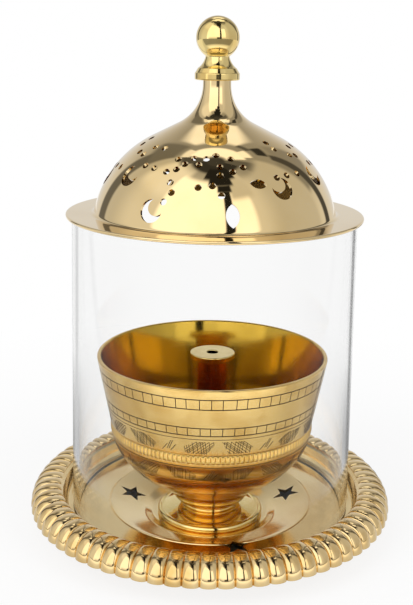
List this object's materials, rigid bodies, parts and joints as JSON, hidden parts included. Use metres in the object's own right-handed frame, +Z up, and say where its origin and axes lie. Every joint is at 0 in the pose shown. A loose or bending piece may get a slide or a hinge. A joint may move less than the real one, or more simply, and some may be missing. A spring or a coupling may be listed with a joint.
{
  "type": "akhand diya oil lamp",
  "caption": "Brass oil lamp with a gadrooned tray, a glass chimney, a pedestal oil bowl with a wick holder, and a pierced ogee dome lid with a ball knob.",
  "frame": {"origin": "on the table, under the middle of the tray", "axes": "+Z up along the lamp's axis, -Y towards the viewer of the picture, +X to that viewer's right"},
  "size_m": [0.156, 0.156, 0.2177],
  "materials": {
    "brass_sheet": "spun sheet, polished bright",
    "brass_cast": "cast, turned and polished, engraved bands",
    "brass_turned": "turned and polished",
    "clear_glass": "clear, fire-polished ends"
  },
  "bodies": {
    "base": {"base_plate": "brass_sheet", "gadroon_rim": "brass_cast", "foot_ring": "brass_sheet"},
    "chimney": {"glass_chimney": "clear_glass"},
    "lid": {"lid_dome": "brass_sheet", "lid_knob": "brass_turned", "knob_washer": "brass_turned", "knob_nut": "brass_turned"},
    "bowl": {"oil_bowl": "brass_cast", "bowl_foot": "brass_cast", "foot_screw": "brass_turned"},
    "wick_holder": {"wick_stem": "brass_turned", "wick_cap": "brass_turned"}
  },
  "joints": [
    {"name": "chimney_lift", "type": "slide", "parent": "base", "child": "chimney", "axis": [0, 0, 1], "range_m": [0, 0.13]},
    {"name": "lid_lift", "type": "slide", "parent": "chimney", "child": "lid", "axis": [0, 0, 1], "range_m": [0, 0.08]},
    {"name": "bowl_lift", "type": "slide", "parent": "base", "child": "bowl", "axis": [0, 0, 1], "range_m": [0, 0.05]},
    {"name": "wick_lift", "type": "slide", "parent": "bowl", "child": "wick_holder", "axis": [0, 0, 1], "range_m": [0, 0.04]}
  ]
}
